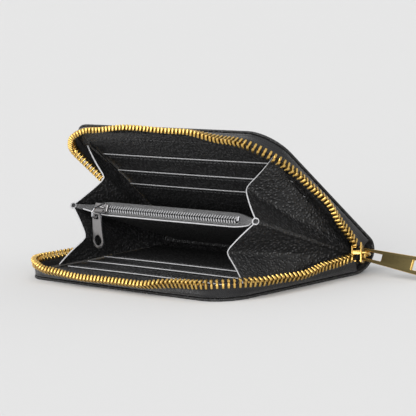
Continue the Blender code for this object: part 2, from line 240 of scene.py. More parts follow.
def add_sheet(name, columns, rows, place, size=(1.0, 1.0)):
    """A grid laid on a curved surface: place(u, v) says where the point u, v of 0 to 1 goes.

    The UV map holds the flat sheet's own size, so that a weave keeps its scale."""
    deselect_all()
    bpy.ops.mesh.primitive_grid_add(x_subdivisions=columns, y_subdivisions=rows, size=1)
    piece = fresh(name)
    flat = [vertex.co.copy() for vertex in piece.data.vertices]
    for layer_point, loop in zip(piece.data.uv_layers.active.data, piece.data.loops):
        u, v = flat[loop.vertex_index].x + 0.5, flat[loop.vertex_index].y + 0.5
        layer_point.uv = (u * size[0], v * size[1])
    for vertex, start in zip(piece.data.vertices, flat):
        vertex.co = place(start.x + 0.5, start.y + 0.5)
    return piece


def thicken(piece, thickness, offset=0.0):
    return add_modifier(
        piece, "SOLIDIFY", thickness=thickness, offset=offset, use_even_offset=True
    )


def add_rod(name, points, radius, closed=False, sides=3):
    """A round rod along a smooth line: a curve with thickness, turned into a mesh."""
    deselect_all()
    bpy.ops.curve.primitive_bezier_curve_add(location=(0, 0, 0))
    piece = fresh(name)
    line = piece.data.splines[0]
    line.bezier_points.add(len(points) - 2)
    line.use_cyclic_u = closed
    for knot, point in zip(line.bezier_points, points):
        knot.co = point
        knot.handle_left_type = knot.handle_right_type = "AUTO"
    piece.data.bevel_depth = radius
    piece.data.bevel_resolution = sides
    piece.data.resolution_u = 4
    piece.data.use_fill_caps = not closed
    pick(piece)
    bpy.ops.object.convert(target="MESH")
    return bpy.context.active_object


def cut_through(piece, *cutters):
    """Cuts the shapes of other pieces out of this one."""
    for cutter in cutters:
        add_modifier(piece, "BOOLEAN", operation="DIFFERENCE", object=cutter, solver="EXACT")
        bpy.data.objects.remove(cutter)
    return piece


print("helpers are ready")

# %% [markdown]
# ## A small workshop for materials
#
# Every finish is made of shader nodes. Patterns read Object coordinates, in metres, so a
# scale of 700 makes cells of about 1.4 mm. `bumped` stacks several height patterns, each
# with its own depth, and joins them to the shader. Numbers that are the same all over are
# set straight on the shader's sockets.

# %% Node helpers
def new_finish(name, roughness, metallic=0.0, **sockets):
    """A material with its shader, and the coordinates that its patterns read."""
    finish = bpy.data.materials.new(name)
    finish.use_nodes = True
    nodes = finish.node_tree.nodes
    shader = nodes["Principled BSDF"]
    shader.inputs["Roughness"].default_value = roughness
    shader.inputs["Metallic"].default_value = metallic
    for socket, value in sockets.items():
        shader.inputs[socket.replace("_", " ")].default_value = value
    coordinates = nodes.new("ShaderNodeTexCoord")
    coordinates.name = "coordinates"
    return finish, shader


def add_node(finish, kind, settings=None, **inputs):
    """One node; an input is a number or another node's output."""
    tree = finish.node_tree
    node = tree.nodes.new("ShaderNode" + kind)
    for key, value in (settings or {}).items():
        setattr(node, key, value)
    for key, value in inputs.items():
        numbered = key[0] == "i" and key[1:].isdigit()
        socket = node.inputs[int(key[1:]) if numbered else key]
        if isinstance(value, bpy.types.NodeSocket):
            tree.links.new(value, socket)
        else:
            socket.default_value = value
    return node


def coordinates_of(finish, kind="Object"):
    return finish.node_tree.nodes["coordinates"].outputs[kind]


def noise(finish, scale, detail=2.0, roughness=0.5, where=None):
    """Soft random clouds from 0 to 1."""
    vector = where or coordinates_of(finish)
    node = add_node(
        finish, "TexNoise", Vector=vector, Scale=scale, Detail=detail, Roughness=roughness
    )
    return node.outputs["Fac"]


def cells(finish, scale, where):
    """Distance from the middle of the nearest round cell."""
    node = add_node(
        finish, "TexVoronoi", {"feature": "SMOOTH_F1"}, Vector=where, Scale=scale, Smoothness=0.35
    )
    return node.outputs["Distance"]


def remap(finish, value, low, high, to_low=0.0, to_high=1.0):
    """Stretches a value's range from low..high to to_low..to_high, with soft ends."""
    node = add_node(
        finish, "MapRange", {"interpolation_type": "SMOOTHSTEP"},
        i0=value, i1=low, i2=high, i3=to_low, i4=to_high,
    )
    return node.outputs["Result"]


def between(finish, share, colour_a, colour_b):
    """A mix of two colours."""
    node = add_node(finish, "Mix", {"data_type": "RGBA"}, i0=share)
    for index, colour in ((6, colour_a), (7, colour_b)):
        if isinstance(colour, bpy.types.NodeSocket):
            finish.node_tree.links.new(colour, node.inputs[index])
        else:
            node.inputs[index].default_value = (*colour, 1.0)
    return node.outputs[2]


def math_node(finish, operation, a, b=0.0):
    return add_node(finish, "Math", {"operation": operation}, i0=a, i1=b).outputs[0]


def bumped(finish, shader, *layers):
    """Height patterns one on another, each given as (pattern, depth in metres)."""
    below = None
    for pattern, depth in layers:
        bump = add_node(finish, "Bump", Height=pattern, Distance=depth, Strength=1.0)
        if below is not None:
            finish.node_tree.links.new(below, bump.inputs["Normal"])
        below = bump.outputs["Normal"]
    finish.node_tree.links.new(below, shader.inputs["Normal"])


def coloured(finish, shader, colour, roughness=None):
    finish.node_tree.links.new(colour, shader.inputs["Base Color"])
    if roughness is not None:
        finish.node_tree.links.new(roughness, shader.inputs["Roughness"])


# %% [markdown]
# ## Pebbled leather
#
# The leather is black and softly shiny, pressed with round pebbles of about 1.5 mm that lie
# close together. An image of leather could be laid on, but cell noise gives the same
# look at any size and on any side: a smooth cell pattern gives the pebbles, a second one
# of another size breaks up their rows, and slow clouds lighten the colour where hands rub.
# The pebbles' tops are smooth and shine, and the valleys between them are dull and get
# painted shade, a colour darker than the tops.

# %% Leather
def pebbled_leather(name, colour, grain, depth, roughness):
    finish, shader = new_finish(name, roughness, Specular_IOR_Level=0.5)
    place = coordinates_of(finish)
    drift = add_node(finish, "TexNoise", Vector=place, Scale=500.0).outputs["Color"]
    wander = add_node(
        finish, "MixRGB", {"blend_type": "ADD"}, i0=0.0006, i1=place, i2=drift
    ).outputs[0]
    pebble = cells(finish, 1.0 / grain, wander)
    dome = remap(finish, pebble, 0.12, 0.62, 1.0, 0.0)
    wide = cells(finish, 0.45 / grain, wander)
    crease = remap(finish, wide, 0.35, 0.75, 1.0, 0.0)
    hair = noise(finish, 9000.0, 2.0)
    slow = noise(finish, 60.0, 3.0)
    # painted shade: the colour in the valleys between the pebbles is 0.3 times the leather's own
    painted_valley_shade = tuple(0.30 * part for part in colour)
    worn = tuple(min(1.0, 1.6 * part) for part in colour)
    tone = between(finish, remap(finish, slow, 0.35, 0.7), colour, worn)
    coloured(
        finish, shader, between(finish, dome, painted_valley_shade, tone),
        remap(finish, dome, 0.0, 1.0, roughness + 0.18, roughness - 0.04),
    )
    bumped(
        finish, shader, (slow, 0.4 * mm), (crease, 0.5 * depth), (dome, depth), (hair, 0.006 * mm)
    )
    return finish


cover_leather = pebbled_leather(
    "cover_leather", (0.021, 0.021, 0.022), 1.5 * mm, 0.42 * mm, 0.42
)
lining_leather = pebbled_leather(
    "lining_leather", (0.028, 0.028, 0.029), 1.35 * mm, 0.40 * mm, 0.38
)
print("leathers:", cover_leather.name, lining_leather.name)

# %% [markdown]
# ## Cut edges, thread and board
#
# Where the leather is cut it shows a thin light grey fibre edge, and the seams are sewn with
# a dull black thread that catches the light on each stitch. The stiffener board between
# leather and lining is hidden, but a part has to be whole, so it gets a grey fibre finish.

# %% Raw edge, thread and board
def fibre_finish(name, colour, speck, roughness):
    finish, shader = new_finish(name, roughness, Specular_IOR_Level=0.25)
    fibres = noise(finish, 5200.0, 4.0, 0.65)
    blotch = noise(finish, 320.0, 2.0)
    tone = between(finish, remap(finish, fibres, 0.35, 0.65), speck, colour)
    blotched = between(finish, remap(finish, blotch, 0.3, 0.8, 0.0, 0.45), tone, speck)
    coloured(finish, shader, blotched)
    bumped(finish, shader, (blotch, 0.05 * mm), (fibres, 0.04 * mm))
    return finish


def twisted_thread(name, colour):
    finish, shader = new_finish(name, 0.5, Sheen_Weight=0.3, Sheen_Roughness=0.4)
    lay = add_node(
        finish, "TexWave", {"wave_type": "BANDS", "bands_direction": "DIAGONAL"},
        Vector=coordinates_of(finish), Scale=900.0, Distortion=0.6,
    ).outputs["Fac"]
    dark = tuple(0.4 * part for part in colour)
    coloured(finish, shader, between(finish, lay, dark, colour))
    bumped(finish, shader, (lay, 0.05 * mm), (noise(finish, 8000.0), 0.02 * mm))
    return finish


raw_edge = fibre_finish("raw_edge", (0.52, 0.52, 0.53), (0.30, 0.30, 0.31), 0.65)
stiffener_board = fibre_finish("stiffener_board", (0.33, 0.31, 0.28), (0.22, 0.20, 0.17), 0.85)
seam_thread = twisted_thread("seam_thread", (0.055, 0.055, 0.058))
print("edge, board and thread are ready")

# %% [markdown]
# ## Zip tape cloth
#
# The big zip's tape is woven with diagonal ribs that turn at each column, like a fish bone.
# The pattern has to follow the tape round the wallet's corners, so it reads the tape's own
# UV map, which holds the flat tape's size in metres. The small zip's tape is a finer, grey,
# silky twill of the same kind.

# %% Woven tapes
def herringbone(name, colour, light, pitch, column, roughness, sheen):
    finish, shader = new_finish(
        name, roughness, Sheen_Weight=sheen, Sheen_Roughness=0.35, Specular_IOR_Level=0.3
    )
    place = add_node(finish, "SeparateXYZ", Vector=coordinates_of(finish, "UV"))
    along, across = place.outputs[0], place.outputs[1]
    folded = math_node(finish, "PINGPONG", across, column)
    slant = math_node(finish, "ADD", along, math_node(finish, "MULTIPLY", folded, 0.9))
    turns = math_node(finish, "MULTIPLY", slant, 2 * math.pi / pitch)
    rib = remap(finish, math_node(finish, "SINE", turns), -0.9, 0.9)
    weft = math_node(finish, "MULTIPLY", across, 2 * math.pi / (0.45 * pitch))
    weft_height = remap(finish, math_node(finish, "SINE", weft), -1.0, 1.0)
    worn = noise(finish, 260.0, 3.0)
    tone = between(finish, rib, colour, light)
    rubbed = between(finish, remap(finish, worn, 0.35, 0.75, 0.0, 0.5), tone, colour)
    coloured(finish, shader, rubbed)
    fibres = noise(finish, 7000.0)
    bumped(finish, shader, (weft_height, 0.03 * mm), (rib, 0.11 * mm), (fibres, 0.02 * mm))
    return finish


black_tape = herringbone(
    "black_zip_tape", (0.005, 0.005, 0.006), (0.016, 0.016, 0.017), 1.0 * mm, 1.9 * mm, 0.6, 0.25
)
grey_tape = herringbone(
    "grey_zip_tape", (0.035, 0.035, 0.037), (0.105, 0.105, 0.108), 0.7 * mm, 40 * mm, 0.42, 0.4
)
print("tapes:", black_tape.name, grey_tape.name)

# %% [markdown]
# ## Metals and the nylon coil
#
# The teeth, the big slider and its pull are polished brass, warm and bright on their edges,
# with fine scratches and darker brass in the recesses. The pull's two faces carry a painted
# reflection: a dark olive brown brass that stands for the dark surroundings they mirror,
# between bright rims. The coin zip's slider is gunmetal. On metal the colour is in the
# reflection, so small changes of roughness do most of the work.

# %% Metals
def worn_metal(name, colour, stain, roughness, scratch_depth):
    finish, shader = new_finish(name, roughness, 1.0)
    cloud = noise(finish, 180.0, 4.0, 0.6)
    stretched = add_node(
        finish, "Mapping", Vector=coordinates_of(finish), Scale=(1.0, 14.0, 1.0),
        Rotation=(0.3, 0.2, 0.6),
    ).outputs[0]
    scratches = noise(finish, 700.0, 3.0, 0.6, stretched)
    coloured(
        finish, shader, between(finish, remap(finish, cloud, 0.45, 0.8, 0.0, 0.6), colour, stain),
        remap(finish, scratches, 0.3, 0.75, roughness - 0.05, roughness + 0.13),
    )
    bumped(finish, shader, (cloud, 0.03 * mm), (scratches, scratch_depth))
    return finish


polished_brass, painted_reflection_brass, dark_gunmetal, bright_gunmetal = (
    worn_metal(name, colour, stain, roughness, scratch_depth * mm)
    for name, colour, stain, roughness, scratch_depth in (
        ("polished_brass", (0.70, 0.46, 0.135), (0.46, 0.27, 0.07), 0.24, 0.008),
        ("painted_reflection_brass", (0.125, 0.100, 0.044), (0.085, 0.068, 0.032), 0.58, 0.010),
        # painted reflection: dark olive brown brass that stands for the dark surroundings the
        # pull's faces mirror
        ("dark_gunmetal", (0.33, 0.32, 0.32), (0.20, 0.20, 0.205), 0.34, 0.008),
        ("bright_gunmetal", (0.50, 0.50, 0.52), (0.30, 0.30, 0.31), 0.25, 0.006),
    )
)


def nylon_coil_finish():
    finish, shader = new_finish("nylon_coil", 0.35, Specular_IOR_Level=0.5)
    cloud = noise(finish, 900.0, 2.0)
    coloured(finish, shader, between(finish, cloud, (0.21, 0.21, 0.215), (0.33, 0.33, 0.34)))
    bumped(finish, shader, (cloud, 0.03 * mm), (noise(finish, 6000.0), 0.01 * mm))
    return finish


nylon_coil = nylon_coil_finish()
print("metals and coil are ready")


# %% Giving a piece its finish and its body
def finish_piece(piece, finish, body=None, stands_for=()):
    """Gives a piece its material, hides the frame's parts that it stands for, and sets the body it
    rides on.
    """
    if finish.name not in [used.name for used in piece.data.materials if used]:
        piece.data.materials.clear()
        piece.data.materials.append(finish)
    if stands_for:
        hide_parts(*stands_for)
    if body:
        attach(piece, body)
    return piece


def paint_faces(piece, finish, wanted):
    """Adds a second finish and gives it to the faces whose centre and normal are wanted."""
    piece.data.materials.append(finish)
    index = len(piece.data.materials) - 1
    for face in piece.data.polygons:
        if wanted(face.center, face.normal):
            face.material_index = index


# %% [markdown]
# ## The leather wrap
#
# The outside of the wallet is one sheet of leather that is folded at the spine. It is drawn
# here as two pieces that meet in the middle of the spine, because the frame has three
# bodies: the lower cover, the coin pocket that swings with half the opening, and the upper
# cover. Each half starts as a block, gets its two mouth corners and its rims bevelled, and
# then its back face is extruded along the round of the spine, a little turn at a time.

# %% The spine's round line
spine_start = Vector((0, panel_back_y, leather_thickness / 2))
spine_end = opened_point((0, panel_back_y, wallet_thickness - leather_thickness / 2), 2)
upper_run = opened_direction((0, 1, 0), 2)
spine_handles = (
    spine_start + Vector((0, 13.9 * mm, 0)),
    spine_end + upper_run * 7.1 * mm,
)


def spine_point(share):
    """A point on the spine's line, from the lower cover at 0 to the upper cover at 1."""
    rest = 1 - share
    return (
        rest**3 * spine_start + 3 * rest**2 * share * spine_handles[0]
        + 3 * rest * share**2 * spine_handles[1] + share**3 * spine_end
    )


def spine_slope(share):
    step = spine_point(min(share + 0.001, 1.0)) - spine_point(max(share - 0.001, 0.0))
    return math.atan2(step.z, step.y)


spine_steps = 9


def bend_over_spine(piece, side):
    """Puts the piece's place and turn into its mesh, for either half of the spine."""
    if side:
        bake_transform(piece)
    else:
        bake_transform(piece)


# %% One half of the wrap
def wrap_half(name, side):
    """A cover's leather with its half of the spine; side is 0 for lower and 1 for upper."""
    height = wallet_thickness - leather_thickness if side else 0.0
    low = (-half_length, mouth_y, height)
    high = (half_length, panel_back_y, height + leather_thickness)
    piece = opened(add_panel(name, low, high, corner_radius), 2 * side)
    edit(piece)
    direction = upper_run if side else Vector((0, 1, 0))
    select_faces(piece, lambda centre, normal: normal.dot(direction) > 0.99)
    share = 1.0 if side else 0.0
    for step in range(spine_steps):
        target = share + (-0.5 if side else 0.5) / spine_steps
        move = spine_point(target) - spine_point(share)
        turn = spine_slope(target) - spine_slope(share)
        bpy.ops.mesh.extrude_region_move(TRANSFORM_OT_translate={"value": move})
        bpy.ops.transform.rotate(
            value=-turn, orient_axis="X", center_override=spine_point(target)
        )
        share = target
    leave_edit()
    bevelled(piece, 0.45 * mm, 3, 60)
    return smooth(piece, 50)


for side_name, side in sides:
    wrap = wrap_half(side_name + "_wrap", side)
    nodes = [side_name + "_cover_leather"] + ([] if side else ["spine_leather"])
    finish_piece(wrap, cover_leather, None, nodes)
    bend_over_spine(wrap, side)
print("half of the wrap has", len(wrap.data.polygons), "faces")

# %% [markdown]
# ## Linings and boards
#
# Inside each cover lies a lining panel, sewn in round the mouth together with the zip tape.
# A strip of the same leather runs along the mouth edge and covers the zip's seam, with one
# row of stitches near its inner edge. A strip is a thin panel with soft rims, and the spine
# lining is a grid laid along a line a little inside the spine.

# %% Lining panels and the strip along the mouth
def inside_span(side, low, high):
    """Heights in the shut wallet, mirrored for the upper cover."""
    if side:
        return wallet_thickness - high, wallet_thickness - low
    return low, high


lining_inset = 1.2 * mm
for side_name, side in sides:
    body = side_name + "_cover"
    z = inside_span(side, 2.5 * mm, 3.0 * mm)
    panel = add_panel(
        side_name + "_lining_panel",
        (lining_inset - half_length, mouth_y + lining_inset, z[0]),
        (half_length - lining_inset, panel_back_y - lining_inset, z[1]),
        corner_radius - lining_inset, 0.15 * mm,
    )
    finish_piece(smooth(opened(panel, 2 * side)), lining_leather, body,
                 [side_name + "_lining"])
    board = frame["nodes"][side_name + "_stiffener_board"]
    finish_piece(board, stiffener_board)


def mouth_strip(side_name, side):
    """The strip that covers the zip's seam: an outline inset and cut from a panel."""
    z = inside_span(side, 3.0 * mm, 3.5 * mm)
    inset, width = 1.6 * mm, 6.4 * mm
    piece = add_panel(
        side_name + "_mouth_strip",
        (inset - half_length, mouth_y + inset, z[0]),
        (half_length - inset, panel_back_y - 4 * mm, z[1]), corner_radius - inset,
    )
    inner = add_panel(
        "inside_of_strip",
        (inset + width - half_length, mouth_y + inset + width, z[0] - 1 * mm),
        (half_length - inset - width, panel_back_y + 4 * mm, z[1] + 1 * mm),
        corner_radius - inset - width,
    )
    cut_through(piece, inner)
    bevelled(piece, 0.16 * mm, 2)
    return smooth(opened(piece, 2 * side))


for side_name, side in sides:
    strip = mouth_strip(side_name, side)
    finish_piece(strip, lining_leather, side_name + "_cover")


lining_depth = 2.1 * mm


def spine_lining_half(name, side):
    """The lining's half of the spine, a little inside the leather."""
    def place(u, v):
        share = 0.5 * (v + side)
        slope = spine_slope(share)
        inward = Vector((0, -math.sin(slope), math.cos(slope)))
        point = spine_point(share) + inward * lining_depth
        point.x = (2 * u - 1) * (half_length - 4 * mm)
        return point

    piece = add_sheet(name, 24, 12, place, (2 * half_length, 16 * mm))
    return smooth(thicken(piece, 0.5 * mm))


for side_name, side in sides:
    lining = spine_lining_half(side_name + "_spine_lining", side)
    finish_piece(lining, lining_leather, None, [] if side else ["spine_lining"])
    bend_over_spine(lining, side)
print("linings, strips and boards are in")

# %% [markdown]
# ## Stitches
#
# A seam is a row of short stitches that dive into the leather at both ends. One stitch is a
# small ball stretched along the seam and pressed halfway in. It is made once, with few
# faces because a wallet has hundreds of them, and copied along each seam, each copy with
# its own mesh. The copies of one seam are joined into one piece.

# %% One stitch and a seam of them
def stretched_ball(name, size, segments=8, rings=6):
    deselect_all()
    bpy.ops.mesh.primitive_uv_sphere_add(segments=segments, ring_count=rings, radius=0.5)
    ball = fresh(name)
    ball.scale = size
    return settle(ball)


one_stitch = stretched_ball("one_stitch", (1.9 * mm, 0.42 * mm, 0.34 * mm))


def copies_along(name, model, places):
    """Copies a small model to each (point, along, up), and joins the copies."""
    made = []
    for point, along, up in places:
        x_axis = along.normalized()
        y_axis = up.cross(x_axis).normalized()
        z_axis = x_axis.cross(y_axis)
        turn = Matrix((x_axis, y_axis, z_axis)).transposed().to_4x4()
        copy = bpy.data.objects.new(name, model.data.copy())
        bpy.context.scene.collection.objects.link(copy)
        copy.data.transform(Matrix.Translation(point) @ turn)
        made.append(copy)
    return joined(name, made)


def evenly(points, pitch, start=0.5):
    """Points and directions at an even pitch along a line of many points."""
    travelled = [0.0]
    for near, far in zip(points, points[1:]):
        travelled.append(travelled[-1] + (far - near).length)
    count = int(travelled[-1] / pitch)
    found, i = [], 0
    for k in range(count):
        wanted = (k + start) * travelled[-1] / count
        while travelled[i + 1] < wanted:
            i += 1
        span = points[i + 1] - points[i]
        part = (wanted - travelled[i]) / max(span.length, 1e-9)
        found.append((points[i] + span * part, span.normalized()))
    return found


def seam(name, points, up, body, pitch=2.7 * mm):
    """A row of stitches along a line on a flat panel that faces up."""
    places = [(point, along, up) for point, along in evenly(points, pitch)]
    piece = copies_along(name, one_stitch, places)
    return finish_piece(smooth(piece, 60), seam_thread, body)


print("a stitch has", len(one_stitch.data.polygons), "faces")

# %% [markdown]
# ## Card slots
#
# Three card slots lie in steps on each lining, the deepest one last. Each is a thin leather
# sheet whose mouth edge is cut, so it shows a light grey fibre line, and it is sewn down
# along a row just behind that line. The mouth edge of a used slot stands up a little in the
# middle, so each sheet is cut across into strips and its front strips are lifted.

# %% Six card slots
slot_half_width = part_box("lower_card_slot_1")[1].x
slot_leather = 0.4 * mm
slot_setbacks = (21.0 * mm, 34.0 * mm, 45.0 * mm)
slot_back = 33.0 * mm
slot_step = 0.7 * mm
mouth_lift = 0.22 * mm


def card_slot(side_name, side, number):
    node = f"{side_name}_card_slot_{number}"
    body = side_name + "_cover"
    front = mouth_y + slot_setbacks[number - 1]
    floor_z = 2.6 * mm + slot_step * number
    z = inside_span(side, floor_z, floor_z + slot_leather)
    piece = add_panel(
        f"{side_name}_slot_{number}", (-slot_half_width, front, z[0]),
        (slot_half_width, slot_back, z[1]), 1.2 * mm, 0.10 * mm,
    )
    edit(piece)
    for y in (front + 2 * mm, front + 5 * mm, front + 10 * mm):
        bpy.ops.mesh.select_all(action="SELECT")
        bpy.ops.mesh.bisect(plane_co=(0, y, 0), plane_no=(0, 1, 0))
    for k in range(-7, 8):
        bpy.ops.mesh.select_all(action="SELECT")
        bpy.ops.mesh.bisect(plane_co=(k * 8.2 * mm, 0, 0), plane_no=(1, 0, 0))
    leave_edit()
    lift = -1 if side else 1
    for vertex in piece.data.vertices:
        depth = max(0.0, 1 - (vertex.co.y - front) / (10 * mm))
        across = max(0.0, 1 - (vertex.co.x / slot_half_width) ** 2)
        vertex.co.z += lift * mouth_lift * across * depth**2
    front_faces = paint_edge(piece, front)
    opened(piece, 2 * side)
    finish_piece(smooth(piece, 30), lining_leather, body, [node])

    def line_across(y, z, height, reach, step):
        """A line beside the mouth edge, that rises to its full height in the middle."""
        return [
            opened_point((x * mm, y, z + lift * height * (1 - (x / 64) ** 2)), 2 * side)
            for x in range(-reach, reach + 1, step)
        ]

    cut_line = line_across(front - 0.05 * mm, (z[0] + z[1]) / 2, mouth_lift, 63, 6)
    cut = add_rod(f"{side_name}_slot_{number}_cut_edge", cut_line, 0.27 * mm, sides=1)
    finish_piece(smooth(cut), raw_edge, body)
    seam_z = z[0] - 0.02 * mm if side else z[1] + 0.02 * mm
    line = line_across(front + 2.2 * mm, seam_z, 0.12 * mm, 61, 2)
    up = opened_direction((0, 0, lift), 2 * side)
    seam(f"{side_name}_slot_{number}_seam", line, up, body)
    return front_faces


def paint_edge(piece, front):
    """Leather all over, and the light cut edge on the faces at the mouth."""
    piece.data.materials.append(lining_leather)
    paint_faces(piece, raw_edge, lambda c, n: n.y < -0.3 and c.y < front + 0.4 * mm)
    return sum(1 for face in piece.data.polygons if face.material_index == 1)


for side_name, side in sides:
    for number in (1, 2, 3):
        edge_faces = card_slot(side_name, side, number)
print("six card slots, each with", edge_faces, "cut edge faces")

# %% Seams on the mouth strips
seam_back = 28 * mm


def arc(centre, radius, start, end, steps=8):
    turns = [math.radians(start + (end - start) * i / steps) for i in range(steps + 1)]
    return [centre + radius * Vector((math.cos(a), math.sin(a), 0)) for a in turns]


def strip_line(side, inset, z):
    """A line round the mouth at an inset from the cover's edge."""
    radius = corner_radius - inset
    right, front = half_length - inset, mouth_y + inset
    line = [Vector((right, seam_back, 0)), Vector((right, front + radius, 0))]
    line += arc(Vector((right - radius, front + radius, 0)), radius, 0.0, -90.0)
    line += [Vector((x * mm, front, 0)) for x in range(56, -57, -4)]
    line += arc(Vector((radius - right, front + radius, 0)), radius, -90.0, -180.0)
    line += [Vector((-right, seam_back, 0))]
    height = wallet_thickness - z if side else z
    return [opened_point((p.x, p.y, height), 2 * side) for p in line]


strip_seam_inset, cover_seam_inset = 6.9 * mm, 1.9 * mm
for side_name, side in sides:
    up = opened_direction((0, 0, -1 if side else 1), 2 * side)
    body = side_name + "_cover"
    seam(side_name + "_strip_seam", strip_line(side, strip_seam_inset, 3.52 * mm), up, body)
    seam(side_name + "_cover_seam", strip_line(side, cover_seam_inset, 0.17 * mm), -up, body)
print("seams are sewn")

# %% [markdown]
# ## The zip tapes
#
# A woven tape is sewn in between the cover and its lining, runs round three sides, and
# stands out of the seam. Where the wallet is pulled open the tape leans outwards, most in
# the middle of a side, and it stands nearly upright at the corners, where it can't stretch.
# The tape is a grid laid on that surface by one function: how far along the mouth, and how
# far up the tape. Its right end follows the coin pocket into the slider.

# %% The line round the mouth
bend_inset = 0.6 * mm
side_run = panel_back_y - mouth_y - corner_radius
front_run = 2 * (half_length - corner_radius)
corner_run = (corner_radius - bend_inset) * math.pi / 2
mouth_run = 2 * side_run + 2 * corner_run + front_run


def mouth_point(travel):
    """Point and outward direction on the seam line, from the right rear to the left rear."""
    if travel > mouth_run / 2:
        point, out = mouth_point(mouth_run - travel)
        return Vector((-point.x, point.y, 0)), Vector((-out.x, out.y, 0))
    centre_x = half_length - corner_radius
    radius = corner_radius - bend_inset
    if travel < side_run:
        return Vector((half_length - bend_inset, panel_back_y - travel, 0)), Vector((1, 0, 0))
    travel -= side_run
    if travel < corner_run:
        turn = -travel / radius
        out = Vector((math.cos(turn), math.sin(turn), 0))
        return Vector((centre_x, mouth_y + corner_radius, 0)) + out * radius, out
    travel -= corner_run
    return Vector((centre_x - travel, mouth_y + bend_inset, 0)), Vector((0, -1, 0))


def ease(value, low, high):
    share = min(1.0, max(0.0, (value - low) / (high - low)))
    return share * share * (3 - 2 * share)


corner_leans = ((0.0, 2), (0.06, 20), (0.13, 46), (0.19, 36), (0.268, 6), (0.33, 26), (0.43, 56),
                (0.56, 60), (0.655, 46), (0.732, 2), (0.80, 24), (0.90, 38), (1.0, 12))


def lean_at(travel, side):
    """How far the tape leans out from upright, in radians, with a slight ripple."""
    share = travel / mouth_run
    lean = corner_leans[-1][1]
    for (near, low), (far, high) in zip(corner_leans, corner_leans[1:]):
        if share <= far:
            lean = low + (high - low) * ease(share, near, far)
            break
    ripple = 1.2 * math.sin(travel / (9.1 * mm) + 2.0 * side)
    return math.radians(lean + ripple * ease(share, 0.04, 0.1))


print(f"the mouth is {mouth_run / mm:.0f} mm round")

# %% The tape's surface
tape_width = 6.0 * mm
flange = 4.2 * mm
bend_height = 1.75 * mm
slider_x, slider_y, slider_z = half_length + 0.2 * mm, 36.4 * mm, middle_z
zip_starts = (2.5 * mm, 9.3 * mm)


def tape_point(travel, distance, side):
    """A point on a tape, at a distance up from the bend; below the bend it lies flat."""
    point, out = mouth_point(travel)
    if distance < 0:
        point = point + out * distance
        point.z = bend_height
    else:
        lean = lean_at(travel, side)
        point = point + out * distance * math.sin(lean)
        point.z = bend_height + distance * math.cos(lean)
    if side:
        point.z = wallet_thickness - point.z
    point = opened_point(point, 2 * side)
    near_end = 1 - ease(travel, zip_starts[side], zip_starts[side] + 12 * mm)
    pull_in = near_end * max(0.0, distance) / (8.2 * mm)
    entry = opened_point(
        (half_length + 2.2 * mm, slider_y - 4.8 * mm, slider_z + (2.6 if side else -2.6) * mm), 1
    )
    aim = entry + (point - entry) * 0.35
    return point.lerp(aim, 0.8 * pull_in)


def zip_tape(side_name, side):
    start = zip_starts[side] - (9 if side else 5) * mm
    run = mouth_run - start - 0.5 * mm

    def place(u, v):
        distance = -flange + (flange + tape_width) * v
        return tape_point(start + run * u, distance, side)

    piece = add_sheet(side_name + "_tape", 360, 14, place, (run, flange + tape_width))
    return smooth(thicken(piece, 0.45 * mm), 60)


pocket_up = opened_direction((0, 0, 1), 1)
pocket_back = opened_direction((0, 1, 0), 1)
slider_middle = opened_point((slider_x, slider_y, slider_z), 1)


def bend_at_slider(piece, side):
    """Puts the piece's place and turn into its mesh."""
    if side:
        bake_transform(piece)
    else:
        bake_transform(piece)


for side_name, side in sides:
    tape = zip_tape(side_name, side)
    finish_piece(tape, black_tape, None, [side_name + "_zip_tape"])
    bend_at_slider(tape, side)
print("tapes:", len(tape.data.polygons), "faces each")

# %% [markdown]
# ## The brass teeth
#
# Each tooth is a separate casting: two legs that clamp the tape's edge from both sides, a
# waist, and a round head that catches the tooth across from it. One tooth starts as a
# block; its top face is extruded and scaled twice, and its edges are bevelled. The teeth
# are 2.6 mm apart along the heads, so they spread at the corners by themselves.

# %% One tooth
def make_tooth():
    """A tooth that stands on z, with the zip running along x and the tape's faces to y."""
    tooth = add_block(
        "one_tooth", (-0.55 * mm, -1.25 * mm, -1.2 * mm), (0.55 * mm, 1.25 * mm, 0.5 * mm)
    )
    edit(tooth)
    select_faces(tooth, lambda centre, normal: normal.z > 0.9)
    steps = (
        (0.5, 0.72, 0.85), (0.6, 1.0, 1.0), (0.35, 1.5, 1.3), (0.75, 1.0, 1.0), (0.35, 0.6, 0.72)
    )
    for rise, wide, deep in steps:
        bpy.ops.mesh.extrude_region_move(TRANSFORM_OT_translate={"value": (0, 0, rise * mm)})
        bpy.ops.transform.resize(value=(wide, deep, 1), center_override=(0, 0, 0))
    leave_edit()
    bevelled(tooth, 0.16 * mm, 1, 50)
    return tooth


one_tooth = make_tooth()
print("a tooth has", len(one_tooth.data.polygons), "faces")


# %% Two rows of teeth
tooth_pitch, tooth_rise = 2.6 * mm, 1.2 * mm


def teeth_row(side_name, side):
    """Teeth at an even pitch along the tape's edge, upright on the tape."""
    start = zip_starts[side]
    samples = [start + (mouth_run - start - 2 * mm) * i / 1500 for i in range(1501)]
    edge = [tape_point(travel, tape_width + tooth_rise, side) for travel in samples]
    places, travelled, wanted = [], 0.0, 0.6 * mm
    for i in range(1, len(samples)):
        travelled += (edge[i] - edge[i - 1]).length
        if travelled < wanted:
            continue
        wanted += tooth_pitch
        low = tape_point(samples[i], tape_width - 1.5 * mm, side)
        up = (edge[i] - low).normalized()
        places.append((low + up * tooth_rise, edge[i] - edge[i - 1], up))
    places = [(p, (along - up * along.dot(up)).normalized(), up) for p, along, up in places]
    return copies_along(side_name + "_teeth", one_tooth, places), len(places)


for side_name, side in sides:
    teeth, count = teeth_row(side_name, side)
    finish_piece(smooth(teeth, 40), polished_brass, None, [side_name + "_zip_teeth"])
    bend_at_slider(teeth, side)
    print(side_name, "row:", count, "teeth")
for side_name, side in sides:
    finish_piece(frame["nodes"][side_name + "_zip_stop"], polished_brass)
